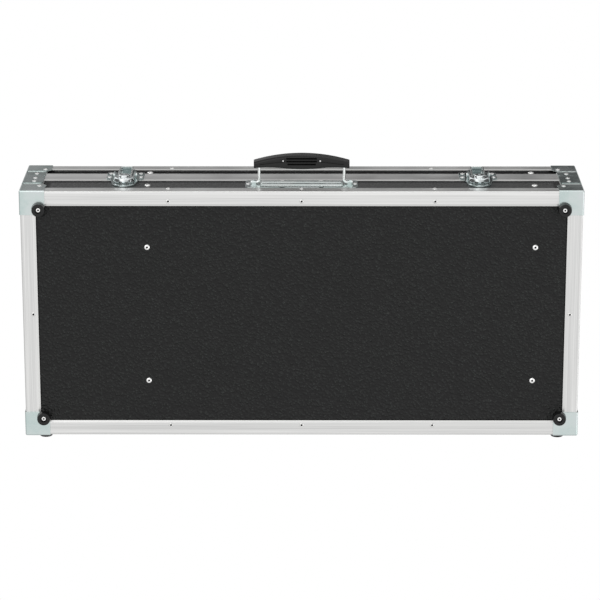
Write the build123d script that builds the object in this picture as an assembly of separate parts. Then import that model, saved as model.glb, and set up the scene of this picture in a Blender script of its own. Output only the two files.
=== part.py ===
from build123d import *
import os

os.makedirs("parts", exist_ok=True)

# Driving sizes of the case, in millimetres
case_width = 802.0
case_depth = 366.0
base_height = 87.0
lid_height = 63.0
foot_height = 10.0

# Panels and the aluminium profiles that hold them
panel_thickness = 5.0
panel_play = 0.2
profile_leg = 22.0
post_leg = 30.0
profile_wall = 1.5
profile_inner_wall = 1.2
profile_corner_radius = 2.0
profile_bevel_width = 3.0
profile_bevel_drop = 0.9
base_rim_height = 22.0
lid_rim_height = 19.0
closing_wall = 2.0
tongue_width = 2.4
tongue_height = 2.5
groove_play = 0.8
groove_floor_gap = 0.6

# Sheet-metal corners
corner_sheet = 1.2
corner_edge_radius = 2.5
brace_leg = 35.0
brace_lobe_place = 26.5
brace_lobe_radius = 9.8
brace_end_gap = 7.0
closing_corner_width = 29.5
base_closing_corner_height = 42.0
closing_corner_radius = 4.0
closing_rivet_inset = 16.5
closing_rivet_pitch = 18.0
closing_rivet_edge = 15.0

# Rubber feet and their screws
foot_top_radius = 10.2
foot_end_radius = 9.2
foot_edge_radius = 1.4
foot_recess_radius = 4.4
foot_recess_depth = 4.0
foot_screw_head_radius = 3.3
foot_screw_head_height = 1.4
foot_screw_head_chamfer = 0.4
foot_screw_socket_radius = 1.2
foot_screw_socket_depth = 1.1
foot_screw_radius = 1.6

# Rivets
rivet_head_radius = 3.2
rivet_head_height = 1.0
rivet_head_chamfer = 0.4
rivet_dimple_radius = 1.3
rivet_dimple_depth = 0.6
rivet_radius = 1.6
rivet_grip = 3.4
drill_play = 0.05
drill_start = 0.1
profile_rivet_place = 211.0
profile_rivet_inset = 15.0

# Partition walls, placed from the case's ends, and their screws
partition_thickness = 6.0
partition_left_place = 180.0
partition_right_place = 67.0
partition_play = 0.1
partition_top_gap = 1.0
partition_screw_spacing = 200.0
partition_screw_wall_height = 38.0
screw_head_radius = 4.4
screw_head_height = 2.2
screw_head_edge_radius = 1.75
screw_radius = 1.7
screw_length = 14.0
screw_recess_radius = 1.4
screw_recess_depth = 1.0

# Foam pads
base_foam_thickness = 8.0
lid_foam_thickness = 14.0
foam_gap = 0.4

# Carrying handle
handle_plate_length = 161.0
handle_plate_gap = 0.8
handle_plate_corner_radius = 5.0
handle_plate_sheet = 1.5
handle_notch_x = 28.0
handle_notch_radius = 3.0
handle_rib_length = 112.0
handle_rib_width = 34.0
handle_rib_shelf_width = 28.4
handle_rib_shelf_height = 1.8
handle_rib_waist_width = 21.0
handle_rib_top_width = 16.0
handle_rib_height = 3.4
handle_rib_sheet = 1.2
handle_pivot_rise = 2.7
handle_arm_x = 61.0
handle_arm_radius = 1.9
handle_arm_bend = 3.2
handle_arm_pivot_end_x = 73.0
handle_arm_top = 31.4
handle_arm_inner_x = 24.5
handle_arm_inner_top = 36.0
handle_knuckle_radius = 3.1
handle_knuckle_start_x = 65.6
handle_knuckle_width = 6.0
handle_end_rivet_x = 76.3
running_play = 0.06
grip_length = 137.0
grip_width = 21.0
grip_end_bottom = 24.6
grip_end_top = 33.9
grip_crown = 44.0
grip_belly = 23.2
grip_belly_x = 27.0
grip_hollow_x = 46.0
grip_hollow_rise = 1.2
grip_edge_radius = 3.6
grip_rod_play = 0.15
grip_groove_length = 43.5
grip_short_groove_length = 40.5
grip_groove_height = 2.5
grip_groove_depth = 3.5
grip_groove_pitch = 4.2
grip_groove_middle = 35.2
grip_slot_height = 2.6
grip_slot_depth = 1.6
grip_slot_overrun = 1.2
grip_slot_inset = 1.0
grip_pin_radius = 1.0
grip_pin_inset = 2.0
grip_pin_proud = 0.4

# Toggle latches, placed from the case's ends and from the closing line
latch_place = 146.0
latch_sheet = 1.5
latch_closing_gap = 1.5
latch_plate_gap = 3.0
latch_plate_width = 41.0
latch_taper_drop = 25.0
latch_plate_rim = 2.5
latch_plate_end_rim = 5.0
latch_ear_width = 54.0
latch_ear_height = 18.0
latch_corner_radius = 3.0
latch_ear_rivet_x = 22.5
latch_pivot_drop = 11.0
latch_pivot_rise = 5.2
latch_pivot_inset = 0.2
latch_claw_pin_drop = 27.0
latch_claw_pin_inset = 0.1
latch_bracket_half_length = 8.0
latch_bracket_top = 9.4
latch_bracket_tip_radius = 4.0
latch_bracket_gap = 0.4
lever_half_width = 14.2
lever_plate_gap = 11.0
lever_lower_edge = 1.9
lever_top = 9.0
lever_face_length = 17.0
lever_step = 5.0
lever_end_radius = 3.3
lever_edge_radius = 1.2
lever_notch_width = 5.0
lever_notch_depth = 4.0
lever_notch_height = 2.6
lever_notch_x = 4.8
lock_radius = 7.4
lock_rise = 4.2
lock_place = 9.4
lock_edge_radius = 0.9
keyhole_rise = 1.8
keyhole_radius = 1.5
keyhole_slit_width = 1.2
keyhole_slit_length = 5.5
keyhole_depth = 2.5
pin_radius = 1.6
pin_head_radius = 2.8
pin_head_height = 0.9
claw_half_width = 10.2
claw_strap_thickness = 2.0
claw_strap_half_height = 2.4
claw_reach = 56.2
claw_bar_thickness = 2.4
claw_bar_edge_radius = 1.4
claw_bar_foot = 2.1
keeper_closing_gap = 2.0
keeper_ear_height = 15.0
keeper_ear_rivet_x = 21.5
keeper_end_gap = 5.0
keeper_strip_width = 24.0
keeper_lip_width = 13.0
keeper_lip_thickness = 2.4
keeper_lip_top = 6.2
keeper_lip_gap = 0.5
keeper_lip_edge_radius = 0.8

# Hinges, placed from the case's ends
hinge_place = 146.0
hinge_width = 60.0
hinge_sheet = 1.5
hinge_axis_rise = 4.3
hinge_knuckle_radius = 4.0
hinge_pin_radius = 2.0
hinge_pin_proud = 0.5
hinge_end_knuckle = 15.0
hinge_gap = 0.3
hinge_sweep_gap = 0.5
hinge_leaf_end = 1.0
hinge_rivet_pitch = 22.0

# How far a cut runs past what it cuts, and a joined part into what carries it
cut_margin = 1.0
root_depth = 0.2

# Values that follow from the sizes above
pocket_end = profile_wall + panel_thickness + panel_play
lip_face = pocket_end + profile_inner_wall
panel_face = profile_wall + panel_thickness
half_width = case_width / 2
half_depth = case_depth / 2
case_height = base_height + lid_height
z_bottom = foot_height
z_close = z_bottom + base_height
z_top = z_close + lid_height
case_y = (grip_crown - foot_height) / 2
y_front = case_y - half_depth
y_back = case_y + half_depth
panel_edge = lip_face + panel_play
lid_closing_wall = closing_wall + tongue_height
groove_depth = tongue_height + groove_floor_gap
tongue_place = (profile_wall + pocket_end - tongue_width) / 2
lid_closing_corner_height = lid_height - brace_leg - brace_end_gap
base_rim_line = base_height - base_rim_height
lid_rim_line = base_height + lid_rim_height
partition_left_x = partition_left_place - half_width
partition_right_x = half_width - partition_right_place
profile_rivet_x = half_width - profile_rivet_place
handle_height = (profile_leg + base_rim_line) / 2
handle_plate_width = base_rim_line - profile_leg - 2 * handle_plate_gap
latch_x = half_width - latch_place
latch_plate_bottom = profile_leg + latch_plate_gap
latch_plate_top = base_height - latch_closing_gap
latch_taper_top = base_height - latch_taper_drop
latch_pivot_height = base_height - latch_pivot_drop
latch_claw_pin_height = base_height - latch_claw_pin_drop
lever_bottom = latch_plate_bottom + lever_plate_gap
lever_window_start = lever_bottom + lever_face_length
lock_height = lever_bottom + lock_place
claw_bar_height = latch_claw_pin_height + claw_reach
keeper_bottom = base_height + keeper_closing_gap
keeper_top = case_height - profile_leg - keeper_end_gap
hinge_x = half_width - hinge_place
foot_seat = foot_height - corner_sheet

# Each wall's own plane: X runs along the wall, Y up it or across it, and Z points out of the case
front_wall = Plane(origin=(0, y_front, z_bottom), x_dir=(1, 0, 0), z_dir=(0, -1, 0))
back_wall = Plane(origin=(0, y_back, z_bottom), x_dir=(-1, 0, 0), z_dir=(0, 1, 0))
left_wall = Plane(origin=(-half_width, case_y, z_bottom), x_dir=(0, -1, 0), z_dir=(-1, 0, 0))
right_wall = Plane(origin=(half_width, case_y, z_bottom), x_dir=(0, 1, 0), z_dir=(1, 0, 0))
bottom_wall = Plane(origin=(0, case_y, z_bottom), x_dir=(1, 0, 0), z_dir=(0, 0, -1))
top_wall = Plane(origin=(0, case_y, z_top), x_dir=(1, 0, 0), z_dir=(0, 0, 1))
long_middle = Plane(origin=(0, case_y, 0), x_dir=(1, 0, 0), z_dir=(0, 1, 0))
cross_middle = Plane.YZ
low = (Align.MIN, Align.MIN)
upward = (Align.CENTER, Align.MIN)
stand = (Align.CENTER, Align.CENTER, Align.MIN)
hang = (Align.CENTER, Align.CENTER, Align.MAX)

nodes = {}


def on(wall, a, b, n=0.0):
    """The place on a wall: a along it, b up or across it, n out of it."""
    return wall.location * Pos(a, b, n)


def slab(x0, x1, y0, y1, z0, z1):
    """A box between two corners."""
    size = Box(x1 - x0, y1 - y0, z1 - z0)
    return Pos((x0 + x1) / 2, (y0 + y1) / 2, (z0 + z1) / 2) * size


def solids_of(shape):
    """The separate solids of a shape or of a list of shapes."""
    if isinstance(shape, (list, tuple)):
        return [solid for one in shape for solid in solids_of(one)]
    return list(shape.solids())


def mirrored_four(shape):
    """A corner piece and its three mirror images."""
    across = mirror(shape, about=cross_middle)
    return [shape, across, mirror(shape, about=long_middle), mirror(across, about=long_middle)]


def boxes_meet(first, second):
    """Whether two bounding boxes meet."""
    return (
        first.min.X <= second.max.X and second.min.X <= first.max.X
        and first.min.Y <= second.max.Y and second.min.Y <= first.max.Y
        and first.min.Z <= second.max.Z and second.min.Z <= first.max.Z
    )


def drilled(shape, holes):
    """A piece with each hole cut that reaches it."""
    reach = shape.bounding_box()
    for hole in holes:
        if boxes_meet(reach, hole.bounding_box()):
            shape = shape - hole
    return shape


# Fasteners

def rivet():
    """A tubular rivet: a low head with a dimple on a short shank."""
    head = Cylinder(rivet_head_radius, rivet_head_height, align=stand)
    head = chamfer(head.edges().sort_by(Axis.Z)[-1], rivet_head_chamfer)
    dimple = Pos(0, 0, rivet_head_height) * Cylinder(rivet_dimple_radius, rivet_dimple_depth, align=hang)
    return head - dimple + Cylinder(rivet_radius, rivet_grip, align=hang)


def partition_screw():
    """A domed screw that holds a partition wall."""
    head = Cylinder(screw_head_radius, screw_head_height, align=stand)
    head = fillet(head.edges().sort_by(Axis.Z)[-1], screw_head_edge_radius)
    recess = Pos(0, 0, screw_head_height) * Cylinder(screw_recess_radius, screw_recess_depth, align=hang)
    return head - recess + Cylinder(screw_radius, screw_length, align=hang)


def rubber_foot():
    """A tapered foot that stands out of a corner plate, with a recess for its screw."""
    body = Cone(foot_top_radius, foot_end_radius, foot_seat, align=stand)
    body = fillet(body.edges().sort_by(Axis.Z)[-1], foot_edge_radius)
    recess = Pos(0, 0, foot_seat) * Cylinder(foot_recess_radius, foot_recess_depth, align=hang)
    bore = Cylinder(foot_screw_radius + drill_play, foot_seat, align=stand)
    return body - recess - bore


def foot_screw():
    """The foot's screw, with its head in the foot's recess."""
    seat = foot_seat - foot_recess_depth
    head = Pos(0, 0, seat) * Cylinder(foot_screw_head_radius, foot_screw_head_height, align=stand)
    head = chamfer(head.edges().sort_by(Axis.Z)[-1], foot_screw_head_chamfer)
    socket = Pos(0, 0, seat + foot_screw_head_height) * Cylinder(
        foot_screw_socket_radius, foot_screw_socket_depth, align=hang
    )
    shank_length = seat + corner_sheet + panel_face
    shank = Pos(0, 0, seat) * Cylinder(foot_screw_radius, shank_length, align=hang)
    return head - socket + shank


base_rivets = []
lid_rivets = []
base_screws = []
lid_screws = []
base_holes = []
lid_holes = []


def drill(place, radius, depth, holes):
    """A hole for a shank, a little wider than it."""
    bore = Cylinder(radius + drill_play, depth + 2 * drill_start, align=hang)
    holes.append(place * Pos(0, 0, drill_start) * bore)


def add_rivet(wall, a, b, n, in_lid):
    """A rivet on a wall, and the hole for its shank."""
    place = on(wall, a, b, n)
    (lid_rivets if in_lid else base_rivets).append(place * rivet())
    drill(place, rivet_radius, rivet_grip, lid_holes if in_lid else base_holes)


def add_partition_screw(wall, a, b, in_lid):
    """A partition screw on a wall's panel, and the hole for its shank."""
    place = on(wall, a, b, -profile_wall)
    (lid_screws if in_lid else base_screws).append(place * partition_screw())
    drill(place, screw_radius, screw_length, lid_holes if in_lid else base_holes)


# Profiles

def bevelled_leg(leg_length):
    """One outer leg of a profile: flat outside, with a bevel along its free edge."""
    return Polygon(
        (0, 0),
        (leg_length - profile_bevel_width, 0),
        (leg_length, profile_bevel_drop),
        (leg_length, profile_wall),
        (0, profile_wall),
        align=None,
    )


def edge_section(leg_length):
    """The double angle that holds two panels at a right angle, with its outer corner at the origin."""
    leg = bevelled_leg(leg_length)
    other_leg = mirror(leg, about=Plane(origin=(0, 0, 0), x_dir=(0, 0, 1), z_dir=(1, -1, 0)))
    web = pocket_end - profile_inner_wall
    hollow = web - profile_wall
    tube = Rectangle(pocket_end, pocket_end, align=low) - Pos(profile_wall, profile_wall) * Rectangle(
        hollow, hollow, align=low
    )
    lip = Pos(web, pocket_end) * Rectangle(profile_leg - web, profile_inner_wall, align=low)
    other_lip = Pos(pocket_end, web) * Rectangle(profile_inner_wall, profile_leg - web, align=low)
    section = leg + other_leg + tube + lip + other_lip
    corner = section.vertices().sort_by_distance((0, 0, 0))[0]
    return fillet(corner, profile_corner_radius)


def rim_section(rim_height, in_lid):
    """The closing profile: X goes into the case, Y away from the closing line."""
    leg = bevelled_leg(rim_height)
    leg = mirror(leg, about=Plane(origin=(0, 0, 0), x_dir=(0, 0, 1), z_dir=(1, -1, 0)))
    wall = lid_closing_wall if in_lid else closing_wall
    top = Rectangle(lip_face, wall, align=low)
    lip = Pos(pocket_end, 0) * Rectangle(profile_inner_wall, rim_height, align=low)
    section = leg + top + lip
    if in_lid:
        groove = Pos(tongue_place - groove_play, 0) * Rectangle(
            tongue_width + 2 * groove_play, groove_depth, align=low
        )
        return section - groove
    tongue = Rectangle(tongue_width, tongue_height + root_depth, align=low)
    return section + Pos(tongue_place, -tongue_height) * tongue


def bar(section, middle, inward, rise, length):
    """A length of profile, mitred at both ends: middle is the middle of its outer corner line."""
    run = inward.cross(rise)
    start = middle - run * (length / 2)
    body = extrude(Plane(origin=start, x_dir=inward, z_dir=run) * section, amount=length, dir=run)
    for end, into in ((start, run), (middle + run * (length / 2), run * -1)):
        body = split(body, bisect_by=Plane(origin=end, z_dir=into - inward), keep=Keep.TOP)
    return body


def frame_bars(section, z, rise):
    """The front, back, left and right lengths of a mitred frame."""
    front = bar(section, Vector(0, y_front, z), Vector(0, 1, 0), rise, case_width)
    left = bar(section, Vector(-half_width, case_y, z), Vector(1, 0, 0), rise, case_depth)
    back = mirror(front, about=long_middle)
    right = mirror(left, about=cross_middle)
    return front, back, left, right


def corner_posts(z0, z1):
    """The four upright lengths of double angle between a frame and a rim."""
    plane = Plane(origin=(-half_width, y_front, z0), x_dir=(1, 0, 0), z_dir=(0, 0, 1))
    return mirrored_four(extrude(plane * edge_section(post_leg), amount=z1 - z0))


# Panels

def face_panel(z0):
    """The bottom or top panel, which runs into the pockets of the four edge profiles."""
    x = half_width - panel_edge
    y = half_depth - panel_edge
    return slab(-x, x, case_y - y, case_y + y, z0, z0 + panel_thickness)


def wall_panels(z0, z1):
    """The front, back, left and right panels between two heights."""
    x = half_width - panel_edge
    y = half_depth - panel_edge
    front = slab(-x, x, y_front + profile_wall, y_front + panel_face, z0, z1)
    left = slab(-half_width + profile_wall, -half_width + panel_face, case_y - y, case_y + y, z0, z1)
    return front, mirror(front, about=long_middle), left, mirror(left, about=cross_middle)


# Sheet-metal corners

def brace_outline():
    """One face of a corner brace: two legs over the profiles and a round lobe between them."""
    edge = -corner_sheet
    width = profile_leg - edge
    legs = Pos(edge, edge) * Rectangle(brace_leg - edge, width, align=low)
    legs += Pos(edge, edge) * Rectangle(width, brace_leg - edge, align=low)
    return legs + Pos(brace_lobe_place, brace_lobe_place) * Circle(brace_lobe_radius)


def corner_brace():
    """A three-sided brace in its own frame: the case's corner is the origin and the case lies at + + +."""
    outline = brace_outline()
    under = extrude(outline, amount=-corner_sheet)
    side = extrude(Plane(origin=(0, 0, 0), x_dir=(0, 1, 0), z_dir=(1, 0, 0)) * outline, amount=-corner_sheet)
    face = extrude(Plane(origin=(0, 0, 0), x_dir=(0, 0, 1), z_dir=(0, 1, 0)) * outline, amount=-corner_sheet)
    body = under + side + face
    tip = (-corner_sheet, -corner_sheet, -corner_sheet)
    edges = body.edges().sort_by_distance(tip)[:3]
    return fillet(edges, corner_edge_radius)


def closing_corner(height):
    """A two-sided corner plate beside the closing line, in the same frame as a brace."""
    edge = -corner_sheet
    outline = Pos(edge, 0) * Rectangle(closing_corner_width - edge, height, align=low)
    far = outline.vertices().group_by(Axis.X)[-1]
    outline = fillet(far, closing_corner_radius)
    face = extrude(Plane(origin=(0, 0, 0), x_dir=(1, 0, 0), z_dir=(0, -1, 0)) * outline, amount=corner_sheet)
    side = mirror(face, about=Plane(origin=(0, 0, 0), x_dir=(0, 0, 1), z_dir=(1, -1, 0)))
    body = face + side
    upright = body.edges().filter_by(Axis.Z).sort_by_distance((edge, edge, height / 2))[0]
    return fillet(upright, corner_edge_radius)


def flipped(shape, z):
    """A shape turned upside down by a mirror at a height."""
    return mirror(shape, about=Plane(origin=(0, 0, z), x_dir=(1, 0, 0), z_dir=(0, 0, 1)))


def at_corner(shape, z):
    """A corner piece moved to the front left corner of the case at a height."""
    return Pos(-half_width, y_front, z) * shape


# Partition walls

def partition(x, half_height, rim_height):
    """A partition wall that stands on the face panel and fits round the lips of the profiles."""
    deep = panel_face + partition_play
    lip = lip_face + partition_play
    leg = profile_leg + panel_play
    rim = half_height - rim_height - panel_play
    top = half_height - partition_top_gap
    front = [
        (leg, deep), (leg, lip), (lip, lip), (lip, leg),
        (deep, leg), (deep, rim), (lip, rim), (lip, top),
    ]
    back = [(case_depth - y, z) for y, z in reversed(front)]
    outline = Polygon(*front, *back, align=None)
    plane = Plane(origin=(x - partition_thickness / 2, y_front, 0), x_dir=(0, 1, 0), z_dir=(1, 0, 0))
    return extrude(plane * outline, amount=partition_thickness, dir=(1, 0, 0))


def foam_pads(z0, z1):
    """One pad of foam for each compartment."""
    y = half_depth - lip_face - foam_gap
    half_wall = partition_thickness / 2 + foam_gap
    inside = half_width - lip_face - foam_gap
    spans = [
        (-inside, partition_left_x - half_wall),
        (partition_left_x + half_wall, partition_right_x - half_wall),
        (partition_right_x + half_wall, inside),
    ]
    return [slab(x0, x1, case_y - y, case_y + y, z0, z1) for x0, x1 in spans]


# Carrying handle, in the front wall's own frame

def handle_plate():
    """The riveted plate with its raised rib and the curled knuckles that hold the arms."""
    seat = -profile_wall
    outline = RectangleRounded(handle_plate_length, handle_plate_width, handle_plate_corner_radius)
    for x in (-handle_notch_x, handle_notch_x):
        for y in (-handle_plate_width / 2, handle_plate_width / 2):
            outline -= Pos(x, y) * Circle(handle_notch_radius)
    plate = Pos(0, handle_height, seat) * extrude(outline, amount=handle_plate_sheet)
    top = seat + handle_plate_sheet
    base = handle_rib_width / 2
    shelf = handle_rib_shelf_width / 2
    waist = handle_rib_waist_width / 2
    crest = handle_rib_top_width / 2
    side = [
        (base, 0),
        (shelf, handle_rib_shelf_height),
        (waist, handle_rib_shelf_height),
        (crest, handle_rib_height),
    ]
    rib = Polygon(*side, *[(-x, y) for x, y in reversed(side)], align=None)
    sheet = handle_rib_sheet
    side = [
        (base - 2 * sheet, 0),
        (shelf - sheet / 2, handle_rib_shelf_height - sheet),
        (waist - sheet / 2, handle_rib_shelf_height - sheet),
        (crest - sheet / 2, handle_rib_height - sheet),
    ]
    inner = Polygon(*side, *[(-x, y) for x, y in reversed(side)], align=None)
    run = Plane(origin=(-handle_rib_length / 2, handle_height, top), x_dir=(0, 1, 0), z_dir=(1, 0, 0))
    rib = extrude(run * rib, amount=handle_rib_length)
    inner = extrude(run * inner, amount=handle_rib_length)
    plate = plate + (rib - inner)
    for side in (-1, 1):
        x0 = handle_knuckle_start_x
        x1 = x0 + handle_knuckle_width
        middle = side * (x0 + x1) / 2
        barrel = Pos(middle, handle_height, handle_pivot_rise) * Rot(0, 90, 0) * Cylinder(
            handle_knuckle_radius, handle_knuckle_width
        )
        root = Pos(middle, handle_height, (top + handle_pivot_rise) / 2) * Box(
            handle_knuckle_width, 2 * handle_knuckle_radius, handle_pivot_rise - top
        )
        bore = Pos(middle, handle_height, handle_pivot_rise) * Rot(0, 90, 0) * Cylinder(
            handle_arm_radius + running_play, handle_knuckle_width + 2 * cut_margin
        )
        plate = plate + barrel + root - bore
    return front_wall.location * plate


def arm_rod(side, radius):
    """One round arm: out of its knuckle, up to the grip and inwards along the grip's slot."""
    path = FilletPolyline(
        (side * handle_arm_pivot_end_x, handle_height, handle_pivot_rise),
        (side * handle_arm_x, handle_height, handle_pivot_rise),
        (side * handle_arm_x, handle_height, handle_arm_top),
        (side * handle_arm_inner_x, handle_height, handle_arm_inner_top),
        radius=handle_arm_bend,
    )
    start = Plane(
        origin=(side * handle_arm_pivot_end_x, handle_height, handle_pivot_rise),
        x_dir=(0, 1, 0),
        z_dir=(-side, 0, 0),
    )
    return sweep(start * Circle(radius), path=path)


def grip_outline():
    """The grip from the front: arched above, with a belly under the middle."""
    end = grip_length / 2
    hollow = grip_end_bottom + grip_hollow_rise
    lines = [
        ThreePointArc((-end, grip_end_top), (0, grip_crown), (end, grip_end_top)),
        Line((end, grip_end_top), (end, grip_end_bottom)),
        ThreePointArc((end, grip_end_bottom), (grip_hollow_x, hollow), (grip_belly_x, grip_end_bottom)),
        ThreePointArc((grip_belly_x, grip_end_bottom), (0, grip_belly), (-grip_belly_x, grip_end_bottom)),
        ThreePointArc((-grip_belly_x, grip_end_bottom), (-grip_hollow_x, hollow), (-end, grip_end_bottom)),
        Line((-end, grip_end_bottom), (-end, grip_end_top)),
    ]
    return make_face(Wire(lines))


grip_plane = Plane(origin=(0, handle_height, 0), x_dir=(1, 0, 0), z_dir=(0, -1, 0))
slot_slope = (handle_arm_inner_top - handle_arm_top) / (handle_arm_x - handle_arm_inner_x)


def handle_grip(rods, pin_holes):
    """The moulded grip with its finger grooves, arm slots and the bores for arms and pins."""
    body = extrude(grip_plane * grip_outline(), amount=grip_width / 2, both=True)
    faces = body.faces().sort_by(Axis.Y)
    body = fillet(faces[0].edges() + faces[-1].edges(), grip_edge_radius)
    for side in (-1, 1):
        y = handle_height + side * grip_width / 2
        for step in (-1, 0, 1):
            z = grip_groove_middle + step * grip_groove_pitch
            length = grip_groove_length if step > -1 else grip_short_groove_length
            groove = Box(length, 2 * grip_groove_depth, grip_groove_height)
            body -= Pos(0, y, z) * groove
        for hand in (-1, 1):
            x0 = handle_arm_inner_x - grip_slot_overrun
            x1 = handle_arm_x - grip_slot_inset
            z0 = handle_arm_inner_top
            z1 = z0 - slot_slope * (x1 - x0)
            half = grip_slot_height / 2
            corners = [(hand * x, z) for x, z in (
                (x0, z0 - half), (x1, z1 - half), (x1, z1 + half), (x0, z0 + half)
            )]
            slot = extrude(grip_plane * Polygon(*corners, align=None), amount=grip_slot_depth, both=True)
            body -= Pos(0, side * grip_width / 2, 0) * slot
    for rod in rods:
        body -= rod
    for hole in pin_holes:
        body -= hole
    return front_wall.location * body


def grip_pin(side, radius, length):
    """A cross pin that holds the inner end of an arm in the grip."""
    x = side * (handle_arm_inner_x + grip_pin_inset)
    z = handle_arm_inner_top - slot_slope * grip_pin_inset
    return Pos(x, handle_height, z) * Rot(90, 0, 0) * Cylinder(radius, length)


# Toggle latches, in the front wall's own frame and centred on X = 0

def latch_plate():
    """The plate on the base: a round-ended tongue, two riveted ears and two upright pivot brackets."""
    end_radius = lever_half_width + latch_plate_rim
    middle = latch_plate_bottom + end_radius
    end = Pos(0, middle) * Circle(end_radius)
    upper = Pos(0, latch_taper_top) * Rectangle(
        latch_plate_width, latch_plate_top - latch_taper_top, align=upward
    )
    tongue = make_hull(end.edges() + upper.edges())
    ears = Rectangle(latch_ear_width, latch_ear_height, align=upward)
    ears = Pos(0, latch_plate_top - latch_ear_height) * ears
    ears = fillet(ears.vertices(), latch_corner_radius)
    lower = Rectangle(latch_ear_width, base_rim_line, align=upward)
    outline = tongue + ears
    seated = extrude(outline & lower, amount=-profile_wall)
    plate = extrude(outline, amount=latch_sheet) + seated
    recess_top = base_rim_line - 2 * latch_sheet
    recess_middle = latch_plate_bottom + latch_plate_end_rim + lever_half_width
    recess = Pos(0, recess_middle) * Circle(lever_half_width)
    recess += Pos(0, recess_middle) * Rectangle(
        2 * lever_half_width, recess_top - recess_middle, align=upward
    )
    plate -= extrude(recess, amount=latch_sheet)
    inner = lever_half_width + latch_bracket_gap
    for side in (-1, 1):
        x0 = min(side * inner, side * (inner + latch_sheet))
        bracket = slab(
            x0, x0 + latch_sheet,
            latch_pivot_height - latch_bracket_half_length, latch_pivot_height + latch_bracket_half_length,
            0, latch_bracket_top,
        )
        tips = bracket.edges().filter_by(Axis.X).group_by(Axis.Z)[-1]
        plate += fillet(tips, latch_bracket_tip_radius)
    bore = Pos(0, latch_pivot_height, latch_pivot_rise) * Rot(0, 90, 0)
    return plate - bore * Cylinder(pin_radius + drill_play, latch_ear_width)


def lever_outline(inset):
    """The lever from the front: two straight sides, a round lower end and a rounded pivot end."""
    half = lever_half_width - inset
    middle = lever_bottom + lever_half_width
    top = latch_pivot_height + lever_end_radius + cut_margin
    outline = Pos(0, middle) * Circle(half)
    return outline + Pos(0, middle) * Rectangle(2 * half, top - middle, align=upward)


def latch_lever():
    """The pressed lever: a hollow cup with a round lock, open over the claw, with two side cheeks."""
    height = lever_top - lever_lower_edge
    body = Pos(0, 0, lever_lower_edge) * extrude(lever_outline(0), amount=height)
    body = fillet(body.faces().sort_by(Axis.Z)[-1].edges(), lever_edge_radius)
    body -= extrude(lever_outline(latch_sheet), amount=lever_top - latch_sheet)
    wide = 2 * lever_half_width
    inside = 2 * (lever_half_width - latch_sheet)
    body -= slab(-inside / 2, inside / 2, lever_window_start, base_height, 0, lever_top + cut_margin)
    cheek_top = latch_pivot_rise + lever_end_radius
    trim = slab(-wide, wide, lever_window_start + lever_step, base_height, cheek_top, lever_top + cut_margin)
    body -= trim
    around = Pos(0, latch_pivot_height, latch_pivot_rise) * Rot(0, 90, 0) * Cylinder(lever_end_radius, wide)
    beyond = slab(-wide, wide, latch_pivot_height, base_height, 0, lever_top + cut_margin)
    cheeks = body & beyond & around
    body = body - beyond + cheeks
    for side in (-1, 1):
        x0 = side * lever_notch_x - lever_notch_width / 2
        body -= slab(
            x0, x0 + lever_notch_width,
            lever_bottom - cut_margin, lever_bottom + lever_notch_depth,
            0, lever_lower_edge + lever_notch_height,
        )
    lock = Pos(0, lock_height, lever_top - root_depth) * Cylinder(
        lock_radius, lock_rise + root_depth, align=stand
    )
    body += fillet(lock.edges().sort_by(Axis.Z)[-1], lock_edge_radius)
    top = lever_top + lock_rise
    eye = lock_height + keyhole_rise
    keyhole = Pos(0, eye, top) * Cylinder(keyhole_radius, keyhole_depth, align=hang)
    slit = Pos(0, eye - keyhole_slit_length / 2, top) * Box(
        keyhole_slit_width, keyhole_slit_length, keyhole_depth, align=hang
    )
    body = body - keyhole - slit
    for height_on_wall, play in ((latch_pivot_height, running_play), (latch_claw_pin_height, drill_play)):
        bore = Cylinder(pin_radius + play, 2 * wide)
        body -= Pos(0, height_on_wall, latch_pivot_rise) * Rot(0, 90, 0) * bore
    return body


def latch_pivots():
    """The two rivets that the lever turns on, one through each bracket."""
    inner = lever_half_width - latch_sheet + latch_pivot_inset
    outer = lever_half_width + latch_bracket_gap + latch_sheet
    pins = []
    for side in (-1, 1):
        place = Pos(0, latch_pivot_height, latch_pivot_rise) * Rot(0, side * 90, 0)
        pin = Pos(0, 0, inner) * Cylinder(pin_radius, outer - inner, align=stand)
        head = Pos(0, 0, outer) * Cylinder(pin_head_radius, pin_head_height, align=stand)
        pins.append(place * (pin + head))
    return pins


def claw_pin():
    """The pin across the lever that the claw turns on."""
    half = lever_half_width - latch_claw_pin_inset
    return Pos(0, latch_claw_pin_height, latch_pivot_rise) * Rot(0, 90, 0) * Cylinder(pin_radius, 2 * half)


def latch_claw():
    """The claw: two straps from the claw pin to a bar that drops behind the keeper's lip."""
    half = claw_half_width
    thick = claw_strap_thickness
    low_edge = latch_pivot_rise - claw_strap_half_height
    high_edge = latch_pivot_rise + claw_strap_half_height
    end = claw_bar_height + claw_bar_thickness
    body = slab(-half, half, claw_bar_height, end, claw_bar_foot, high_edge)
    for side in (-1, 1):
        x0 = min(side * half, side * (half - thick))
        strap = slab(x0, x0 + thick, latch_claw_pin_height, end, low_edge, high_edge)
        eye = Pos(x0 + thick / 2, latch_claw_pin_height, latch_pivot_rise) * Rot(0, 90, 0) * Cylinder(
            claw_strap_half_height, thick
        )
        body = body + strap + eye
    brow = body.edges().filter_by(Axis.X).sort_by(Axis.Y)[-2:].sort_by(Axis.Z)[-1]
    body = fillet(brow, claw_bar_edge_radius)
    bore = Pos(0, latch_claw_pin_height, latch_pivot_rise) * Rot(0, 90, 0)
    return body - bore * Cylinder(pin_radius + running_play, 2 * half + 2 * cut_margin)


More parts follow.
